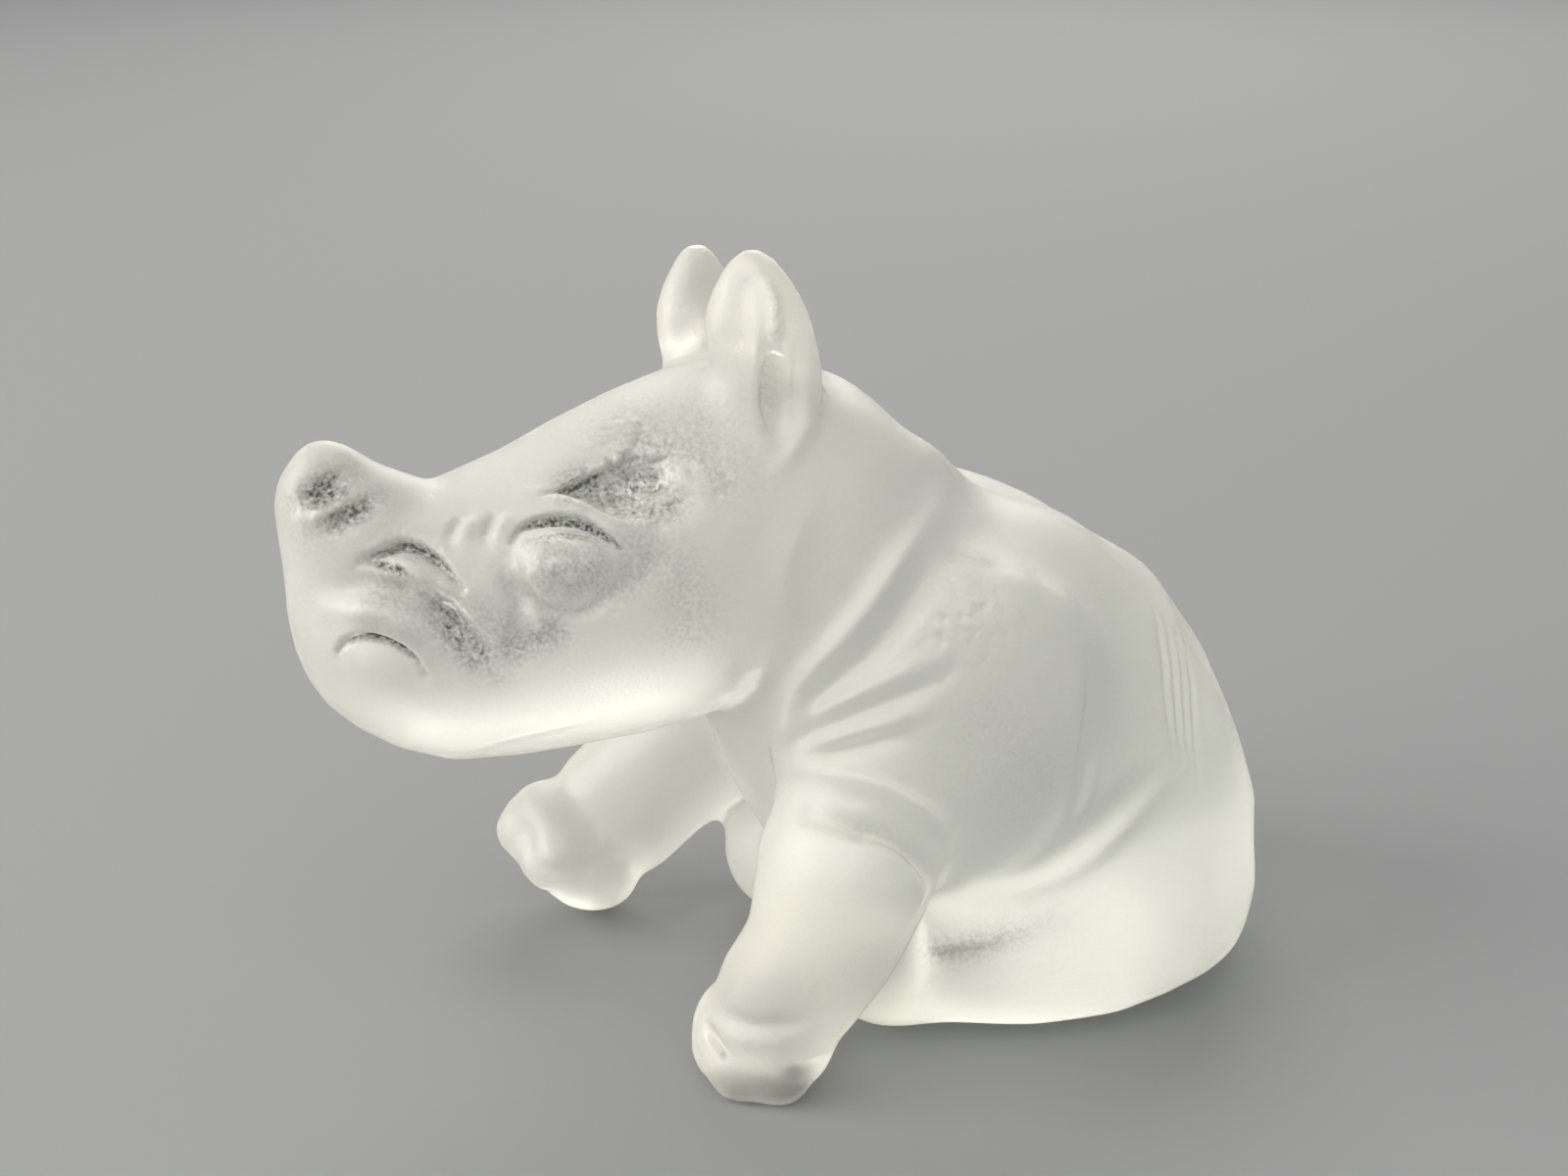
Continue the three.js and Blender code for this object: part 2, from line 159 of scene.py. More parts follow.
# Creases where the skin is melted smooth: width is the brush's reach.
MELTED = {
    "haunch top": Stroke(((-40, 20), (-30, 20), (-20, 19.5), (-10, 18), (-2, 16)), 5.0),
    "haunch rear": Stroke(((-42.5, 17), (-43, 12), (-42, 8), (-40.5, 6)), 6.0),
    "haunch, outer corner": Stroke(
        ((-40, 15.3, 19.3), (-39, 17.5, 16), (-37, 20.8, 14), (-35, 22.7, 11.3)), 6.0
    ),
    "hind foot": Stroke(((-16, 6), (-10, 8), (-5, 8), (-2, 6)), 5.0),
    "hind foot, top": Stroke(((-4, 18.3, 3.3), (-5.8, 20.3, 8), (-8, 21.4, 9.3), (-10, 21.8, 12)), 5.0),
    "hind foot, sole": Stroke(((-4, 18.3, 3.3), (-7, 20, 3.3), (-10, 20.8, 3.3)), 5.0),
    "upper arm": Stroke(((7, 27), (5, 28), (0, 27), (-4, 22), (-3, 16)), 4.0),
    "shield front": Stroke(((7, 30), (2, 38), (-4, 46), (-8, 48)), 4.0),
    "shield top": Stroke(
        ((-4, 17, 47), (-7, 16, 48), (-10.4, 15, 48), (-14, 15, 47.5), (-17, 16, 46), (-19.5, 19, 43)), 8.0
    ),
    "shield crest": Stroke(
        ((-8.5, 17.6, 46.8), (-11.3, 18.9, 46), (-14.3, 20.4, 44.8), (-16.5, 20.8, 43.5)), 3.0
    ),
    "shield rear": Stroke(
        ((-19.5, 43), (-20.6, 38), (-20, 32.5), (-18.4, 29.4), (-14, 24), (-9, 19.5)), 4.0
    ),
    "jaw corner": Stroke(((2, 56), (6, 48), (9, 40)), 4.0),
    "withers": Stroke(
        ((-11, 10, 50), (-12.5, 5, 52), (-13, 0, 53), (-12.5, -5, 52), (-11, -10, 50)), 7.0, sides=ONCE
    ),
    "back": Stroke(((-15, 0, 51), (-22, 0, 48), (-29, 0, 43.5)), 7.0, sides=ONCE),
    "horn, front": Stroke(
        ((45.5, 5, 49), (46.6, 3, 48.5), (46.9, 0.7, 48.4), (46.5, -2.5, 48.4)), 3.5, sides=ONCE
    ),
    "left ear's foot": Stroke(((10.4, 4.7, 60.9), (9.2, 7.2, 60.6), (7.9, 8.7, 59.5)), 2.5, sides=ONCE),
    "right arm, root": Stroke(
        ((8.1, -3, 26.7), (7.7, -0.5, 24.6), (6.5, 0.5, 21.5), (5, 1, 18.5)), 4.0, sides=ONCE
    ),
    "left ankle": Stroke(((14.8, 18.9, 8.2), (12.4, 23.1, 8.4), (8, 24.8, 8.9)), 3.0, sides=ONCE),
}

# On the head, before it leans.
UPPER_LID = ((29.5, 49.9), (28.5, 50.8), (26.4, 51.3), (24, 51), (22, 49.8), (20, 47.7))
# The dark marks of these strokes are partly bare glass and partly painted shade: the lid lines, the brow
# and its hollow, and grey on the eyeball, behind the eye and on the skull.
EYES = {
    "eyeball": Stroke(((27, 48), (25.5, 47.6), (24, 47.6)), 2.4, cut=-1.0, bare=0.6),
    "upper lid crease": Stroke(UPPER_LID, 0.3, cut=0.8, bare=1.7),
    "upper lid": Stroke(UPPER_LID, 1.4, step=1.5),
    "shade under the lid": Stroke(
        ((28.5, 49.9), (26.4, 50.3), (24, 50), (22.5, 49.2)), 0.9, cut=0.2, bare=1.0
    ),
    "lower lid": Stroke(
        ((29.7, 48.6), (29.2, 46.4), (27.8, 44.7), (25.5, 43.8), (23.3, 44.2), (21.6, 45.4), (20.6, 46.8)),
        0.7, cut=0.6, bare=0.4,
    ),
    "lower rim of the eye": Stroke(((28.7, 47.2), (27.4, 45.7), (25.3, 45), (23.2, 45.6)), 0.6, cut=-0.5),
    "grey behind the eye": Stroke(((20, 48.5), (17.5, 47), (16, 44.5), (15.5, 41)), 3.0, bare=0.35),
    "rear corner": Stroke(((22, 44.6), (20, 46), (18.5, 47.5)), 1.4, cut=0.5, bare=0.5),
    "brow, upper bank": Stroke(
        ((25.4, 53.4), (23.3, 53.7), (21.6, 54.1), (20.1, 54.9), (18.5, 56), (17.2, 57.5)),
        1.1, step=1.6, bare=0.5,
    ),
    "brow, edge": Stroke(
        ((26, 53.1), (24.6, 53.4), (23.3, 53.6), (21.6, 54), (20.1, 54.8)), 0.35, cut=0.6, bare=1.8
    ),
    "brow, lower bank": Stroke(
        ((25.4, 53.4), (24, 53), (22.9, 52.3), (21.7, 51.6), (19.5, 50.8), (17.2, 50.8)),
        1.4, step=-1.2,
    ),
    "brow hollow": Stroke(
        ((23, 53.3), (21, 53.2), (19, 53.2), (17, 53.8)), 2.1, cut=0.4, bare=1.0, pits=0.4
    ),
    "brow hollow, upper end": Stroke(((20, 54.2), (18, 55.2), (16, 56)), 2.0, cut=0.4, bare=0.8, pits=0.3),
    "brow hollow, lower end": Stroke(((20, 52), (18, 51.6), (16, 52)), 1.6, cut=0.5, bare=0.9, pits=0.3),
    "temple": Stroke(((18.5, 57.5), (16, 57), (13.5, 55.8), (12, 54)), 2.6, bare=0.45, pits=0.3),
    "grey skull": Stroke(((18, 57.5), (16, 58.2), (13.5, 57.5), (12.5, 55)), 4.5, bare=0.3),
    "brow roll": Stroke(((26.2, 53), (24.4, 52.4), (22.6, 51.6)), 1.0, cut=-0.5),
    "front wrinkle": Stroke(((32.4, 51.9), (33.6, 51.2), (34.3, 50)), 0.5, cut=0.4, bare=0.3),
    "front wrinkle, roll": Stroke(((31.7, 51.5), (32.8, 50.8), (33.4, 49.6)), 0.7, cut=-0.3),
    "rear wrinkle": Stroke(((29.6, 52.1), (30.8, 51.3), (31.6, 50)), 0.5, cut=0.4, bare=0.3),
    "rear wrinkle, roll": Stroke(((29, 51.6), (30, 50.9), (30.7, 49.6)), 0.6, cut=-0.3),
    "tear crease": Stroke(((30.4, 48.5), (30.2, 46.5), (29.6, 44.5), (29.9, 42)), 0.9, cut=0.5, bare=0.4),
    "tear bead": Stroke(((28.7, 43.9), (28.3, 43.5)), 0.7, cut=-0.4),
    "cheek crease": Stroke(((30.6, 40.8), (29, 41.4), (27, 42.1)), 1.5, cut=0.3, bare=0.85),
}
UPPER_FOLD = ((41.4, 49), (39.2, 49.7), (37.3, 49.9), (35.4, 48.6), (34, 46.5))
NOSTRIL = ((43.9, 41.5), (43.3, 42.4), (42, 42.9), (40.5, 42.7), (39, 41.8), (38, 40.6), (37.5, 39.4))
# Here too the dark marks paint shade into the folds, the nostrils and under the horn, besides bare glass.
NOSE = {
    "horn, upper hollow": Stroke(
        ((46, 53.4), (44.8, 54.2), (43.3, 55), (41, 56.2)), 1.5, cut=0.8, bare=1.5, pits=0.3
    ),
    "horn, rib": Stroke(((45.4, 52.8), (44.3, 53), (42.5, 53.6), (40.8, 54.3)), 0.8, cut=-0.5),
    "horn, lower hollow": Stroke(
        ((44.6, 51.5), (42.6, 52.4), (40.8, 53.1), (39, 54)), 1.1, cut=0.5, bare=1.4, pits=0.3
    ),
    "horn, front": Stroke(
        ((46.4, 0.5, 57), (47.2, 1, 54), (47.5, 1, 51.5), (47.3, 1, 49.8)), 3.0, cut=0.5, sides=ONCE
    ),
    "horn, foot": Stroke(
        ((47, 1.2, 48.5), (46.8, 1.1, 47.2), (46.6, 1, 45.8), (46.5, 1, 44.6)), 2.4, cut=-0.5, sides=ONCE
    ),
    "grey between the folds": Stroke(((40, 46.5), (37, 45), (34.5, 43.5), (31.5, 43)), 2.6, bare=0.45),
    "grey under the horn": Stroke(((45.5, 51.5), (43, 52.2), (40.5, 53)), 2.4, bare=0.3),
    "upper fold": Stroke(UPPER_FOLD, 0.4, cut=0.9, bare=1.6),
    "upper fold, bank": Stroke(UPPER_FOLD, 1.2, step=0.9, bare=0.4),
    "upper fold, lip": Stroke(
        ((41.2, 49.1), (39.8, 48.8), (38.7, 48.2), (37.8, 47.4)), 0.5, cut=0.6, bare=1.5
    ),
    "upper fold, roll": Stroke(
        ((39.9, 48.9), (38.3, 48.4), (36.7, 47.4), (35.3, 46.2), (34.3, 45)), 0.9, cut=-0.7
    ),
    "lower fold": Stroke(
        ((37.6, 47), (35.7, 44.6), (34.2, 42), (32.6, 40), (31.4, 38.8)), 1.6, cut=0.6, bare=1.15, pits=0.3
    ),
    "lower fold, front": Stroke(
        ((44.4, 47.1), (42.8, 47), (40.7, 47), (38.8, 46.6), (37, 46)), 1.2, cut=0.4
    ),
    "nostril roll": Stroke(
        ((44.2, 44.8), (42.8, 45.1), (40.6, 44.9), (38.9, 43.6), (37.3, 41.6)), 1.3, cut=-0.6
    ),
    "nostril": Stroke(NOSTRIL, 0.35, cut=0.8, bare=1.6),
    "nostril rim": Stroke(NOSTRIL, 1.2, step=0.9),
    "nostril wing": Stroke(((41.2, 40.3), (40, 40)), 2.0, cut=-0.4),
    "mouth": Stroke(((35, 30.6), (33, 30.9), (30.7, 31.6), (27.8, 32.2), (24, 32.9)), 0.5, cut=0.2),
}
EARS = {
    "slot": Stroke(((6.4, 63.9), (6.1, 61.5), (6, 59.2), (6, 57.2)), 0.9, cut=2.0, bare=0.3),
    "slot, front wall": Stroke(((7.4, 64), (7.3, 61.5), (7.1, 59.2), (6.6, 56.8)), 0.6, step=-1.2),
    "slot, rear wall": Stroke(((5.3, 63.9), (4.8, 61.2), (4.8, 58.9), (5.4, 56.8)), 0.6, step=1.0),
    "slot, rear rim": Stroke(((3.4, 64), (3, 61), (3.2, 58.6), (4.2, 56.6)), 0.8, cut=-0.5),
    "rear edge": Stroke(((2.2, 62.6), (2.1, 59.8), (2.7, 57.4), (4.4, 55.6), (6.4, 53.8)), 0.8, cut=-0.5),
    "leaf ridge": Stroke(((6.8, 70.4), (6, 68.5), (6, 66.1), (6.2, 64)), 0.6, cut=-0.5, bare=0.35),
    "leaf face": Stroke(((8.2, 69), (8.6, 67), (8.8, 65)), 1.4, cut=0.4),
}

# On the body.
BODY_FOLDS = {
    "jaw fold": Stroke(((9.8, 39.5), (10.3, 36.5), (10.2, 34)), 1.2, cut=-0.6),
    "neck, soft fold": Stroke(((4.2, 52.4), (6.6, 48.7), (7.7, 43.5), (9.5, 38.7)), 1.5, cut=-0.5),
    "neck roll": Stroke(((-8.7, 50.8), (-3.7, 47.9), (1, 42.7), (5.5, 36.3), (7, 31)), 1.2, cut=-1.1),
    "neck valley": Stroke(((-9, 48.3), (-4.7, 45.8), (0.2, 40.3), (4.3, 36), (6.8, 30)), 1.3, cut=0.9),
    "shield, upper rib": Stroke(((6.8, 32), (4.6, 34.4), (0.6, 36.9), (-4.6, 39.8)), 0.9, cut=-0.6),
    "shield, upper fan": Stroke(
        ((7, 30.6), (4.8, 32.6), (0.8, 35.1), (-2.4, 36.6), (-5.3, 38)), 0.8, cut=0.7
    ),
    "shield, middle rib": Stroke(((6.6, 30.6), (3.8, 32.2), (0.6, 33.6), (-3, 34.9)), 0.8, cut=-0.5),
    "shield, lower fan": Stroke(((6.8, 30), (3.6, 31.2), (0.6, 32.1), (-2.2, 32.8)), 0.8, cut=0.7),
    "shield, hem": Stroke(
        ((6.4, 29.6), (4.5, 29.6), (2, 28.8), (-0.6, 27.4), (-5.2, 23.9)), 1.2, cut=-1.6
    ),
    "crease under the hem": Stroke(
        ((7, 26.8), (4.1, 26.4), (1.4, 25.4), (-0.8, 23.4), (-3.4, 20)), 1.0, cut=1.4, bare=0.2
    ),
    "upper arm rim": Stroke(((2.4, 25.2), (-0.1, 23.1), (-1.4, 19.7), (-1.1, 18.2)), 0.8, cut=-0.5),
    # Painted shade in the crease between the elbow and the haunch.
    "elbow crease": Stroke(
        ((-2.2, 10.4), (-4.6, 10.6), (-7.5, 11), (-11, 12.2), (-15, 14)),
        1.6, cut=0.25, bare=0.45, sides=ONCE,
    ),
    "shield, rear rib": Stroke(
        ((-16.5, 41.4), (-16.9, 37.2), (-16.6, 30.5), (-16.7, 24.1), (-15, 20.2), (-10.4, 16.4)),
        1.1, cut=-0.4,
    ),
    "shield, pitted part": Stroke(((0, 39.5), (-3, 41), (-6, 42), (-9, 42.5)), 3.5, pits=0.3),
    "shield, lower pits": Stroke(((-8, 33), (-11, 31), (-13, 27)), 4.0, bare=0.12, pits=0.25),
    "shield, rear valley": Stroke(((-18, 41), (-18.4, 37), (-18.1, 30.5), (-18, 24)), 1.4, cut=0.3),
    "flank rib": Stroke(((-19.5, 28.7), (-19, 25), (-17.7, 21.5)), 0.6, cut=-0.3),
    "haunch rib": Stroke(
        ((-26.9, 24.1), (-22.6, 20.7), (-17.1, 17.4), (-12.3, 16), (-7.6, 14.7)), 1.2, cut=-0.5
    ),
    "haunch valley": Stroke(((-26, 26), (-21.5, 22.6), (-16.5, 19.2)), 1.6, cut=0.3),
    "withers": Stroke(((-14, 0, 52), (-19, 0, 50), (-24, 0, 48), (-28, 0, 45)), 8.0, cut=1.9, sides=ONCE),
    "shield, top edge": Stroke(
        ((-6, 17.8, 48), (-10, 18.6, 47.8), (-14, 19.2, 47.4), (-17, 20.2, 45.4), (-19, 21, 43)),
        3.0, cut=1.3,
    ),
    "nape": Stroke(((-10, 8, 53.2), (-12.5, 5.5, 52), (-15, 2, 51)), 3.0, cut=-1.2),
    "small of the back": Stroke(((-28, 3, 44.5), (-31, 3, 41.5), (-34, 3, 38)), 4.0, cut=-0.6),
    "haunch, outer corner": Stroke(((-40, 16, 18), (-39, 18, 15.5), (-37.5, 20.3, 12.5)), 3.0, cut=-0.7),
}
FEET = {
    "left ankle": Stroke(
        ((14.8, 18.9, 8.2), (13.6, 21.5, 8.2), (12.4, 23.1, 8.4), (10, 24.4, 8.7), (8, 24.8, 8.9)),
        0.9, cut=0.4, sides=ONCE,
    ),
    "left foot, upper roll": Stroke(
        ((15.2, 19, 7), (13.8, 21.8, 6.9), (12.4, 23.4, 6.9), (10, 24.6, 7.2)), 0.8, cut=-0.2, sides=ONCE
    ),
    "left front toe": Stroke(
        ((16.2, 17.6, 6.6), (15.7, 18.9, 5.9), (15.2, 20, 5.3), (14.7, 20.9, 4.9)),
        0.5, cut=0.7, sides=ONCE,
    ),
    "left rear toe": Stroke(
        ((10.7, 23.1, 4.7), (8.7, 23.1, 4.2), (6.6, 22.6, 3.9)), 0.6, cut=0.7, sides=ONCE
    ),
    "left sole": Stroke(
        ((15.8, 18.5, 2), (14.5, 21, 1.8), (12, 22.9, 1.8), (9, 22.8, 1.6), (7, 21.8, 1.6)),
        1.8, cut=-0.5, sides=ONCE,
    ),
    "right forearm": Stroke(((17.5, -14.5, 12.5), (14, -14, 14)), 3.5, cut=0.5, sides=ONCE),
    "right paw": Stroke(
        ((21.8, -17.7, 12.7), (21.3, -15.3, 11.4), (21.1, -13.3, 9), (18.8, -12.9, 8.1), (15.7, -13, 8.1)),
        0.9, cut=0.4, sides=ONCE,
    ),
}

# Fine upright folds on the rump: the first one, the move from each to the next, and their number.
RUMP_FOLD = Stroke(((-30.2, 37.9), (-29.1, 35.1), (-28.2, 30.9), (-28.4, 26.7)), 0.45, cut=0.25)
RUMP_FOLD_MOVE = (-1.1, -1.2)
RUMP_FOLDS = 4


def linear(colour):
    """An sRGB hex colour as linear red, green and blue."""
    channels = [int(colour[i : i + 2], 16) / 255 for i in (1, 3, 5)]
    return [c / 12.92 if c <= 0.04045 else ((c + 0.055) / 1.055) ** 2.4 for c in channels]


class CastingSettings(bpy.types.PropertyGroup):
    """Sizes of the skin that joins the solids."""

    voxel: bpy.props.FloatProperty(
        name="Voxel",
        description="Size of the grid that joins the solids into one skin",
        default=0.6 * MM,
        unit="LENGTH",
    )
    seam_fill: bpy.props.FloatProperty(
        name="Seam fill",
        description="How far each solid swells to close the seams between solids",
        default=0.22 * MM,
        unit="LENGTH",
    )
    smoothing: bpy.props.IntProperty(
        name="Smoothing",
        description="Passes that melt the facets away",
        default=24,
    )
    melting: bpy.props.IntProperty(
        name="Melting",
        description="Passes that melt the creases between the forms",
        default=120,
    )


class GlassSettings(bpy.types.PropertyGroup):
    """Colours and finish of the glass."""

    satin: bpy.props.FloatVectorProperty(
        name="Satin", description="Etched skin", default=linear("#FFFDF6"), subtype="COLOR"
    )
    # Dark colour of the bare glass, also used as painted shade in the creases and on the head.
    bare: bpy.props.FloatVectorProperty(
        name="Bare",
        description="Bare grainy glass in the hollows",
        default=linear("#2A2F34"),
        subtype="COLOR",
    )
    depth: bpy.props.FloatVectorProperty(
        name="Depth",
        description="Tint of the glass where it is thick",
        default=linear("#DCEAEC"),
        subtype="COLOR",
    )
    density: bpy.props.FloatProperty(
        name="Density", description="How fast the tint grows with depth, per metre", default=6.0
    )
    grain: bpy.props.FloatProperty(
        name="Grain", description="Size of the etched grain", default=0.35 * MM, unit="LENGTH"
    )
    roughness: bpy.props.FloatProperty(
        name="Roughness", description="Roughness of the etched skin", default=0.5, subtype="FACTOR"
    )
    bare_roughness: bpy.props.FloatProperty(
        name="Bare roughness", description="Roughness of the bare glass", default=0.2, subtype="FACTOR"
    )
    grain_depth: bpy.props.FloatProperty(
        name="Grain depth", description="Height of the etched grain", default=0.1 * MM, unit="LENGTH"
    )
    grain_strength: bpy.props.FloatProperty(
        name="Grain strength",
        description="How far the etched grain turns the light",
        default=0.45,
        subtype="FACTOR",
    )
    thin_etching: bpy.props.FloatProperty(
        name="Thin etching",
        description="Share of bare glass that shows through the etched skin all over",
        default=0.03,
        subtype="FACTOR",
    )
    speckle: bpy.props.FloatProperty(
        name="Speckle", description="Contrast of the grain where the glass is bare", default=2.0
    )
    transmission: bpy.props.FloatProperty(
        name="Transmission",
        description="Share of the light that goes through",
        default=0.82,
        subtype="FACTOR",
    )
    ior: bpy.props.FloatProperty(name="IOR", description="Refraction of the glass", default=1.5)


class StageSettings(bpy.types.PropertyGroup):
    """Floor, lights and camera."""

    floor: bpy.props.FloatVectorProperty(
        name="Floor", description="Pale floor", default=linear("#747678"), subtype="COLOR"
    )
    floor_size: bpy.props.FloatProperty(
        name="Floor size", description="Side of the square floor", default=4.0, unit="LENGTH"
    )
    floor_roughness: bpy.props.FloatProperty(
        name="Floor roughness", description="Roughness of the paper", default=0.9, subtype="FACTOR"
    )
    surround: bpy.props.FloatVectorProperty(
        name="Surround", description="Soft light from all round", default=linear("#CCCCCC"), subtype="COLOR"
    )
    key_power: bpy.props.FloatProperty(
        name="Key power", description="Softbox before the nose", default=11.0, unit="POWER"
    )
    back_power: bpy.props.FloatProperty(
        name="Back power", description="Softbox behind the rump", default=7.0, unit="POWER"
    )
    top_power: bpy.props.FloatProperty(
        name="Top power", description="Softbox above the left flank", default=5.5, unit="POWER"
    )
    softbox_size: bpy.props.FloatProperty(
        name="Softbox size", description="Width of each softbox", default=0.8, unit="LENGTH"
    )
    softbox_colour: bpy.props.FloatVectorProperty(
        name="Softbox colour", description="Warm white", default=linear("#FFFCF4"), subtype="COLOR"
    )
    lens: bpy.props.FloatProperty(
        name="Lens", description="Focal length", default=55.4, unit="CAMERA"
    )
    distance: bpy.props.FloatProperty(
        name="Distance", description="From the camera to its aim", default=225.5 * MM, unit="LENGTH"
    )
    aim: bpy.props.FloatVectorProperty(
        name="Aim",
        description="What lies in the middle of the view",
        default=(0.0, -3.0 * MM, 38.5 * MM),
        subtype="TRANSLATION",
    )


def add_node(tree, kind, inputs=None, links=None, **settings):
    """Adds a node with its settings, its input values and its links from other nodes' sockets."""
    node = tree.nodes.new(kind)
    for name, value in settings.items():
        setattr(node, name, value)
    for name, value in (inputs or {}).items():
        node.inputs[name].default_value = value
    for name, socket in (links or {}).items():
        tree.links.new(socket, node.inputs[name])
    return node


def new_material(name):
    """An empty node material and its output node."""
    material = bpy.data.materials.new(name)
    material.use_nodes = True
    material.node_tree.nodes.clear()
    return material, add_node(material.node_tree, "ShaderNodeOutputMaterial")


def neighbours_mean(places, edges):
    """The mean of each point's neighbours along the edges."""
    total = np.zeros_like(places)
    count = np.bincount(edges.ravel(), minlength=len(places))
    for axis in range(3):
        total[:, axis] = np.bincount(edges[:, 0], places[edges[:, 1], axis], len(places))
        total[:, axis] += np.bincount(edges[:, 1], places[edges[:, 0], axis], len(places))
    return total / count[:, None]


def read_places(mesh):
    """A mesh's points, in metres."""
    places = np.empty(len(mesh.vertices) * 3)
    mesh.vertices.foreach_get("co", places)
    return places.reshape(-1, 3)


def read_normals(mesh):
    """The way that a mesh faces at each of its points."""
    normals = np.empty(len(mesh.vertices) * 3)
    mesh.vertex_normals.foreach_get("vector", normals)
    return normals.reshape(-1, 3)


def write_places(mesh, places):
    """Moves a mesh's points to their new places, in metres, with none of them below the floor."""
    np.maximum(places[:, 2], 0, out=places[:, 2])
    mesh.vertices.foreach_set("co", places.ravel())
    mesh.update()


def apply_modifiers(piece):
    """Gives a piece the mesh that its modifiers make, and takes them off."""
    graph = bpy.context.evaluated_depsgraph_get()
    piece.data = bpy.data.meshes.new_from_object(piece.evaluated_get(graph))
    piece.modifiers.clear()


def smooth_line(points):
    """A round line through points, sampled at the stroke step (Catmull-Rom)."""
    points = [np.array(p, float) for p in points]
    ends = [2 * points[0] - points[1], *points, 2 * points[-1] - points[-2]]
    line = []
    for a, b, c, d in zip(ends, ends[1:], ends[2:], ends[3:]):
        count = max(1, round(np.linalg.norm(c - b) / STROKE_STEP))
        bend = 2 * a - 5 * b + 4 * c - d
        twist = 3 * b - a - 3 * c + d
        for t in np.arange(count) / count:
            line.append(0.5 * (2 * b + (c - a) * t + bend * t**2 + twist * t**3))
    return np.array([*line, points[-1]])


def on_skin(tree, stroke, side, lean):
    """A stroke's line on one flank of the skin, in millimetres, and the skin's normals there."""
    places, normals = [], []
    for point in smooth_line(stroke.points):
        if len(point) == 2:
            ahead, up = point
            start = lean @ Vector((ahead, side * OUTSIDE, up))
            found = tree.ray_cast(start * MM, lean.to_3x3() @ Vector((0, -side, 0)))
        else:
            ahead, left, up = point
            found = tree.find_nearest(lean @ Vector((ahead, side * left, up)) * MM)
        if found[0] is None:
            raise ValueError(f"a stroke misses the skin at {tuple(point)}")
        places.append(found[0] / MM)
        normals.append(found[1])
    return np.array(places), np.array(normals)


def nearest_on_line(places, line):
    """Each place's distance to a line, how many pieces along that is, and its offset from there."""
    best = np.full(len(places), np.inf)
    along = np.zeros(len(places))
    offset = np.zeros_like(places)
    for i, (start, stop) in enumerate(zip(line, line[1:])):
        piece = stop - start
        share = np.clip((places - start) @ piece / max(piece @ piece, NO_LENGTH), 0, 1)
        away = places - start - share[:, None] * piece
        distance = np.linalg.norm(away, axis=1)
        closer = distance < best
        best[closer] = distance[closer]
        along[closer] = i + share[closer]
        offset[closer] = away[closer]
    return best, along, offset


def end_fade(line, along, width):
    """A stroke's strength along its line, which falls softly towards both ends unless it is short."""
    if len(line) * STROKE_STEP < SHORT * width:
        return 1.0
    share = along / (len(line) - 1)
    inward = np.clip(FADING_PARTS * np.minimum(share, 1 - share), 0, 1)
    return END_STRENGTH + (1 - END_STRENGTH) * inward**2 * (3 - 2 * inward)


def falloff(distance, width):
    """1 on a stroke's line, and softly less to both sides."""
    return np.exp(-((distance / width) ** 2))


def marks(piece, strokes, lean):
    """Yields each stroke with the skin points in its reach, their distances, side offsets and fades."""
    tree = BVHTree.FromObject(piece, bpy.context.evaluated_depsgraph_get())
    places = read_places(piece.data) / MM
    for stroke in strokes:
        for side in stroke.sides:
            line, normals = on_skin(tree, stroke, side, lean)
            reach = REACH * stroke.width
            inside = (places > line.min(0) - reach) & (places < line.max(0) + reach)
            near = inside.all(axis=1).nonzero()[0]
            distance, along, offset = nearest_on_line(places[near], line)
            index = np.minimum(along.astype(int), len(line) - 2)
            left_hand = np.cross(normals[index], np.diff(line, axis=0)[index])
            left_hand /= np.linalg.norm(left_hand, axis=1)[:, None]
            aside = side * np.einsum("ij,ij->i", offset, left_hand)
            yield stroke, near, distance, aside, end_fade(line, along, stroke.width)


def refine(strokes, lean):
    """Splits the skin's faces round the thin strokes, so that these stay crisp."""
    piece = bpy.data.objects[SKIN]
    close = np.zeros(len(piece.data.vertices), bool)
    thin = [stroke for stroke in strokes.values() if stroke.width < THIN]
    for _, near, distance, _, _ in marks(piece, thin, lean):
        close[near[distance < FINE_REACH]] = True
    skin = bmesh.new()
    skin.from_mesh(piece.data)
    edges = [edge for edge in skin.edges if all(close[vertex.index] for vertex in edge.verts)]
    bmesh.ops.subdivide_edges(skin, edges=edges, cuts=1, use_grid_fill=True)
    skin.to_mesh(piece.data)
    skin.free()


def moved(stroke, ahead, up):
    """A stroke of the side view, moved ahead and up."""
    return stroke._replace(points=tuple((x + ahead, z + up) for x, z in stroke.points))


def pitting(places):
    """How deep each place lies in small pits, from 0 to 1."""
    return np.array([max(0.0, noise.noise(Vector(place) / PIT_SPACING)) for place in places])


def carve(strokes, lean):
    """Carves strokes into the casting and marks the bare glass and the painted shade that they leave."""
    piece = bpy.data.objects[SKIN]
    places, normals = read_places(piece.data), read_normals(piece.data)
    bare = np.empty(len(places), np.float32)
    piece.data.attributes["bare"].data.foreach_get("value", bare)
    height = np.zeros(len(places))
    for stroke, near, distance, aside, fade in marks(piece, strokes.values(), lean):
        spread = falloff(distance, stroke.width) * fade
        bank = np.tanh(aside / (BANK_SHARE * stroke.width)) * np.exp(-distance / stroke.width) * fade
        height[near] += stroke.step / 2 * bank - stroke.cut * spread
        # The dark mark is bare glass in the hollows and painted shade in the creases and on the head.
        bare[near] = np.maximum(bare[near], stroke.bare * spread)
        if stroke.pits:
            height[near] -= stroke.pits * spread * pitting(places[near])
    places += normals * height[:, None] * MM
    write_places(piece.data, places)
    piece.data.attributes["bare"].data.foreach_set("value", bare)


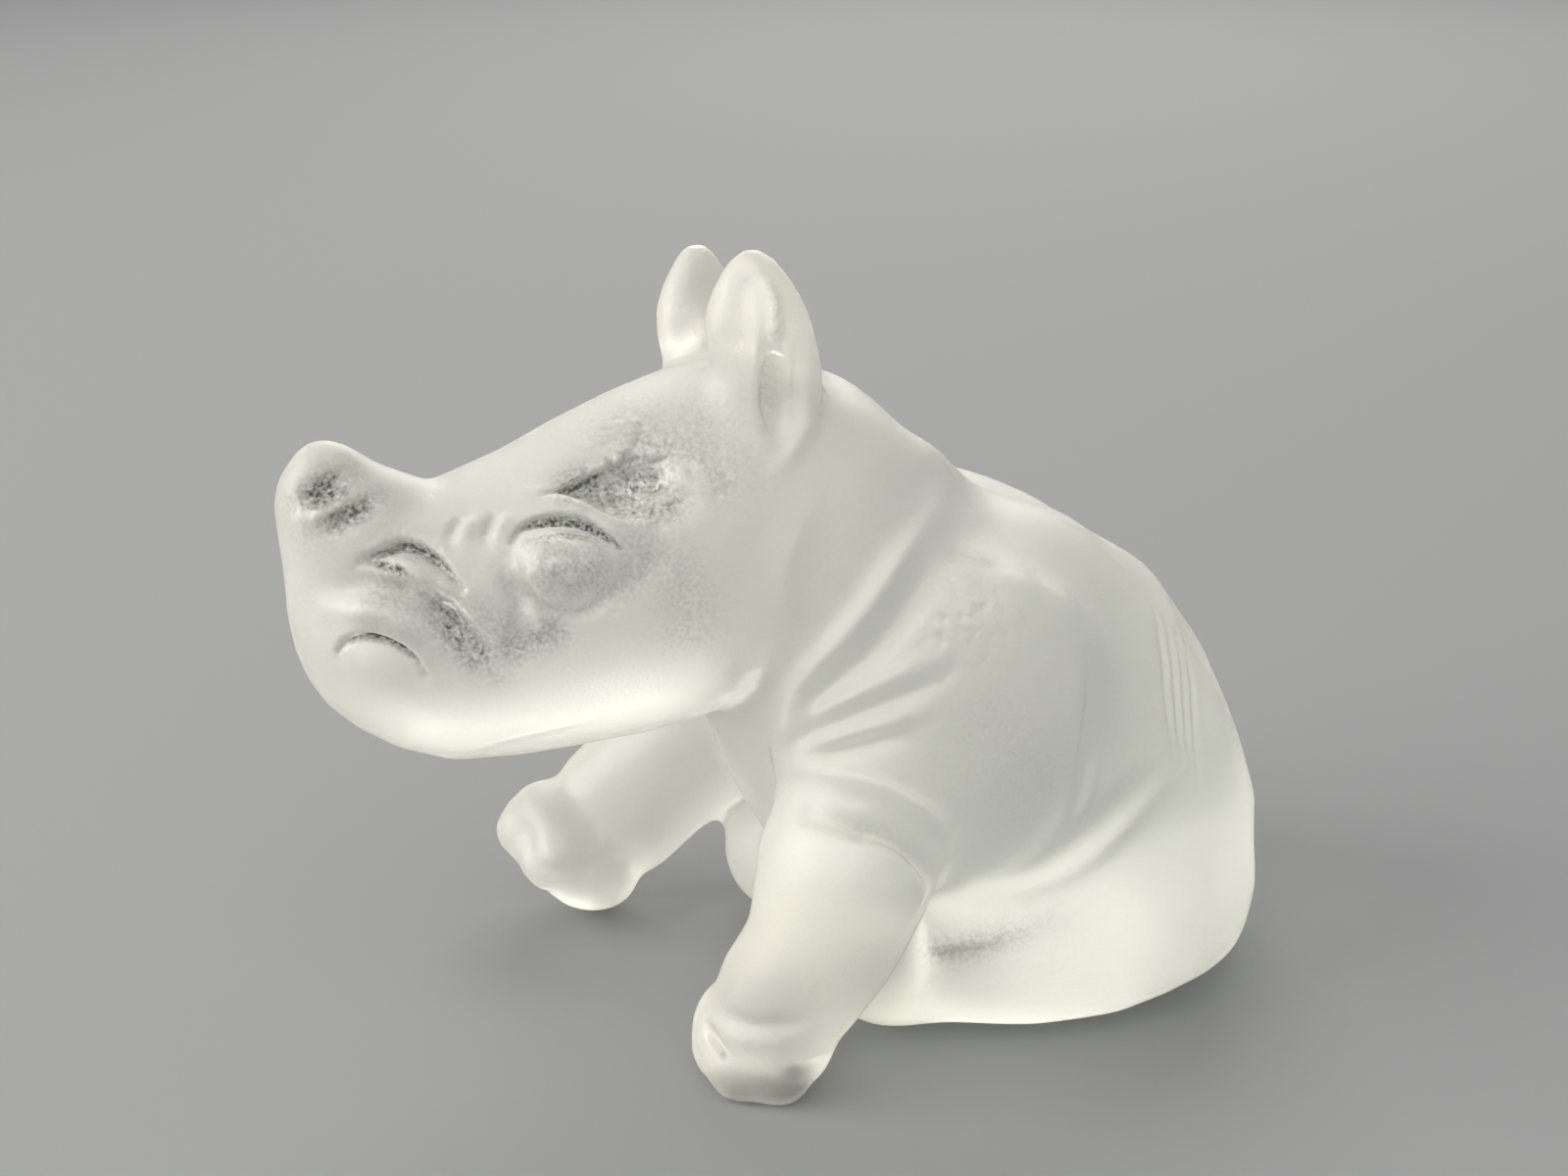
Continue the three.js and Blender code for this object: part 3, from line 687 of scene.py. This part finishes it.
class RHINO_OT_cast(bpy.types.Operator):
    """Join the solids into one closed skin without seams or facets"""

    bl_idname = "rhino.cast"
    bl_label = "Cast the figure"

    def execute(self, context):
        settings = context.scene.rhino_casting
        blank = bmesh.new()
        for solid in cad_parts.values():
            blank.from_mesh(solid.data)
        bmesh.ops.remove_doubles(blank, verts=blank.verts, dist=SAME_CORNER)
        blank.normal_update()
        for vertex in blank.verts:
            vertex.co += vertex.normal * settings.seam_fill
        mesh = bpy.data.meshes.new(SKIN)
        blank.to_mesh(mesh)
        blank.free()
        piece = bpy.data.objects.new(SKIN, mesh)
        context.scene.collection.objects.link(piece)

        remesh = piece.modifiers.new("joined", "REMESH")
        remesh.mode = "VOXEL"
        remesh.voxel_size = settings.voxel
        apply_modifiers(piece)

        edges = np.array([edge.vertices for edge in piece.data.edges])
        places = read_places(piece.data)
        for _ in range(settings.smoothing):
            for step in SMOOTHING_STEPS:
                places += step * (neighbours_mean(places, edges) - places)
        write_places(piece.data, places)

        softness = np.zeros(len(places))
        for stroke, near, distance, _, _ in marks(piece, MELTED.values(), UPRIGHT):
            softness[near] = np.maximum(softness[near], falloff(distance, stroke.width))
        for _ in range(settings.melting):
            places += MELTING_STEP * softness[:, None] * (neighbours_mean(places, edges) - places)
        write_places(piece.data, places)

        finer = piece.modifiers.new("finer", "SUBSURF")
        finer.levels = finer.render_levels = 1
        apply_modifiers(piece)
        piece.data.shade_smooth()
        # Marks bare glass and painted shade; the carving fills it in.
        piece.data.attributes.new("bare", "FLOAT", "POINT")
        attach(piece, "root")
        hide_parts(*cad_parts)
        return {"FINISHED"}


class RHINO_OT_carve_eyes(bpy.types.Operator):
    """Carve the lids, the brows and the wrinkles round the eyes"""

    bl_idname = "rhino.carve_eyes"
    bl_label = "Carve the eyes"

    def execute(self, context):
        refine(EYES, LEANED)
        carve(EYES, LEANED)
        return {"FINISHED"}


class RHINO_OT_carve_nose(bpy.types.Operator):
    """Carve the horn, the folds of the nose, the nostrils and the mouth"""

    bl_idname = "rhino.carve_nose"
    bl_label = "Carve the nose"

    def execute(self, context):
        refine(NOSE, LEANED)
        carve(NOSE, LEANED)
        return {"FINISHED"}


class RHINO_OT_carve_ears(bpy.types.Operator):
    """Carve the slots and rims of the ears"""

    bl_idname = "rhino.carve_ears"
    bl_label = "Carve the ears"

    def execute(self, context):
        refine(EARS, LEANED)
        carve(EARS, LEANED)
        return {"FINISHED"}


class RHINO_OT_carve_folds(bpy.types.Operator):
    """Carve the folds of the neck, the shields, the haunches and the rump"""

    bl_idname = "rhino.carve_folds"
    bl_label = "Carve the folds"

    def execute(self, context):
        carve(BODY_FOLDS, UPRIGHT)
        ahead, up = RUMP_FOLD_MOVE
        rump = {f"rump {i}": moved(RUMP_FOLD, i * ahead, i * up) for i in range(RUMP_FOLDS)}
        carve(rump, UPRIGHT)
        return {"FINISHED"}


class RHINO_OT_carve_feet(bpy.types.Operator):
    """Carve the creases of the forefeet"""

    bl_idname = "rhino.carve_feet"
    bl_label = "Carve the feet"

    def execute(self, context):
        carve(FEET, UPRIGHT)
        return {"FINISHED"}


class RHINO_OT_finish_glass(bpy.types.Operator):
    """Give the casting its etched glass"""

    bl_idname = "rhino.finish_glass"
    bl_label = "Finish the glass"

    def execute(self, context):
        settings = context.scene.rhino_glass
        # Soda-lime glass, cast and then etched in acid: light goes through it, and the fine etched skin
        # scatters it, so the figure glows where light gathers and no edge behind it stays sharp. In the
        # hollows the etching is missing, and the bare glass there is grainy and a little shiny. Its dark
        # colour stands for that bare glass and is also painted shade in the creases, the lid lines and on
        # the top of the head. The real grain is a few hundredths of a millimetre, too fine to show, so it
        # is drawn coarser.
        material, output = new_material("acid-etched soda-lime glass")
        tree = material.node_tree
        place = add_node(tree, "ShaderNodeTexCoord")
        grain = add_node(
            tree,
            "ShaderNodeTexNoise",
            inputs={"Scale": 1 / settings.grain, "Detail": 2.0},
            links={"Vector": place.outputs["Object"]},
        )
        bare = add_node(tree, "ShaderNodeAttribute", attribute_name="bare")
        etched_thin = add_node(
            tree,
            "ShaderNodeMath",
            operation="ADD",
            inputs={1: settings.thin_etching},
            links={0: bare.outputs["Fac"]},
        )
        # The contrast is taken about the grain's middle value.
        speckle = add_node(
            tree,
            "ShaderNodeMath",
            operation="MULTIPLY_ADD",
            inputs={1: settings.speckle, 2: (1 - settings.speckle) / 2},
            links={0: grain.outputs["Fac"]},
        )
        patch = add_node(
            tree,
            "ShaderNodeMath",
            operation="MULTIPLY",
            use_clamp=True,
            links={0: etched_thin.outputs["Value"], 1: speckle.outputs["Value"]},
        )
        # Satin, or the dark colour of bare glass and painted shade.
        colour = add_node(
            tree,
            "ShaderNodeMix",
            data_type="RGBA",
            inputs={"A": (*settings.satin, 1), "B": (*settings.bare, 1)},
            links={"Factor": patch.outputs["Value"]},
        )
        etched = add_node(
            tree,
            "ShaderNodeBump",
            inputs={"Strength": settings.grain_strength, "Distance": settings.grain_depth},
            links={"Height": grain.outputs["Fac"]},
        )
        roughness = add_node(
            tree,
            "ShaderNodeMix",
            inputs={"A": settings.roughness, "B": settings.bare_roughness},
            links={"Factor": bare.outputs["Fac"]},
        )
        shader = add_node(
            tree,
            "ShaderNodeBsdfPrincipled",
            inputs={"IOR": settings.ior, "Transmission Weight": settings.transmission},
            links={
                "Base Color": colour.outputs["Result"],
                "Roughness": roughness.outputs["Result"],
                "Normal": etched.outputs["Normal"],
            },
        )
        tree.links.new(shader.outputs["BSDF"], output.inputs["Surface"])
        depth = add_node(
            tree,
            "ShaderNodeVolumeAbsorption",
            inputs={"Color": (*settings.depth, 1), "Density": settings.density},
        )
        tree.links.new(depth.outputs["Volume"], output.inputs["Volume"])
        piece = bpy.data.objects[SKIN]
        piece.data.materials.clear()
        piece.data.materials.append(material)
        return {"FINISHED"}


class RHINO_OT_stage(bpy.types.Operator):
    """Lay the floor, hang the lights and set up the camera"""

    bl_idname = "rhino.stage"
    bl_label = "Set the stage"

    def execute(self, context):
        settings = context.scene.rhino_stage
        bpy.ops.mesh.primitive_plane_add(size=settings.floor_size)
        floor = context.object
        floor.name = "floor"
        # Coated paper with a matt face: it takes soft shadows and shows no shine.
        material, output = new_material("matt studio paper")
        paper = add_node(
            material.node_tree,
            "ShaderNodeBsdfPrincipled",
            inputs={"Base Color": (*settings.floor, 1), "Roughness": settings.floor_roughness},
        )
        material.node_tree.links.new(paper.outputs["BSDF"], output.inputs["Surface"])
        floor.data.materials.append(material)
        floor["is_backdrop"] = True

        world = bpy.data.worlds.new("studio")
        context.scene.world = world
        world.use_nodes = True
        world.node_tree.nodes["Background"].inputs["Color"].default_value = (*settings.surround, 1)

        softboxes = {
            "key": (KEY_PLACE, settings.key_power),
            "top": (TOP_PLACE, settings.top_power),
            "back": (BACK_PLACE, settings.back_power),
        }
        for name, (place, power) in softboxes.items():
            light = bpy.data.lights.new(name, "AREA")
            light.shape = "DISK"
            light.size = settings.softbox_size
            light.energy = power
            light.color = settings.softbox_colour
            softbox = bpy.data.objects.new(name, light)
            softbox.location = place
            facing = Vector(SOFTBOX_AIM) - softbox.location
            softbox.rotation_euler = facing.to_track_quat("-Z", "Y").to_euler()
            context.scene.collection.objects.link(softbox)

        camera = bpy.data.cameras.new("camera")
        camera.lens = settings.lens
        camera.sensor_width = SENSOR
        camera.clip_start = 1 * MM
        holder = bpy.data.objects.new("camera", camera)
        azimuth, elevation = math.radians(VIEW_AZIMUTH), math.radians(VIEW_ELEVATION)
        back = Vector((
            math.sin(azimuth) * math.cos(elevation),
            -math.cos(azimuth) * math.cos(elevation),
            math.sin(elevation),
        ))
        holder.location = Vector(settings.aim) + back * settings.distance
        holder.rotation_euler = (-back).to_track_quat("-Z", "Y").to_euler()
        context.scene.collection.objects.link(holder)
        context.scene.camera = holder
        context.scene.view_settings.view_transform = "Standard"
        return {"FINISHED"}


class RHINO_PT_panel(bpy.types.Panel):
    """Lists the steps in order"""

    bl_idname = "RHINO_PT_panel"
    bl_label = "Rhinoceros"
    bl_space_type = "VIEW_3D"
    bl_region_type = "UI"
    bl_category = "Rhinoceros"

    def draw(self, context):
        for operator in STEPS:
            self.layout.operator(operator.bl_idname)


STEPS = (
    RHINO_OT_cast,
    RHINO_OT_carve_eyes,
    RHINO_OT_carve_nose,
    RHINO_OT_carve_ears,
    RHINO_OT_carve_folds,
    RHINO_OT_carve_feet,
    RHINO_OT_finish_glass,
    RHINO_OT_stage,
)
SETTINGS = {
    "rhino_casting": CastingSettings,
    "rhino_glass": GlassSettings,
    "rhino_stage": StageSettings,
}


def register():
    """Adds the steps, the panel and the settings to Blender."""
    for made in (*SETTINGS.values(), *STEPS, RHINO_PT_panel):
        bpy.utils.register_class(made)
    for name, group in SETTINGS.items():
        setattr(bpy.types.Scene, name, bpy.props.PointerProperty(type=group))


def unregister():
    """Takes them out again."""
    for name in SETTINGS:
        delattr(bpy.types.Scene, name)
    for made in (RHINO_PT_panel, *reversed(STEPS), *SETTINGS.values()):
        bpy.utils.unregister_class(made)


def main():
    """Builds the figure and its stage."""
    register()
    bpy.ops.rhino.cast()
    bpy.ops.rhino.carve_eyes()
    bpy.ops.rhino.carve_nose()
    bpy.ops.rhino.carve_ears()
    bpy.ops.rhino.carve_folds()
    bpy.ops.rhino.carve_feet()
    bpy.ops.rhino.finish_glass()
    bpy.ops.rhino.stage()
    boxes = {"cad": CAD_BOX, "visual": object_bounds()}
    {name: [list(corner) for corner in box] for name, box in boxes.items()}


if __name__ == "__main__":
    main()
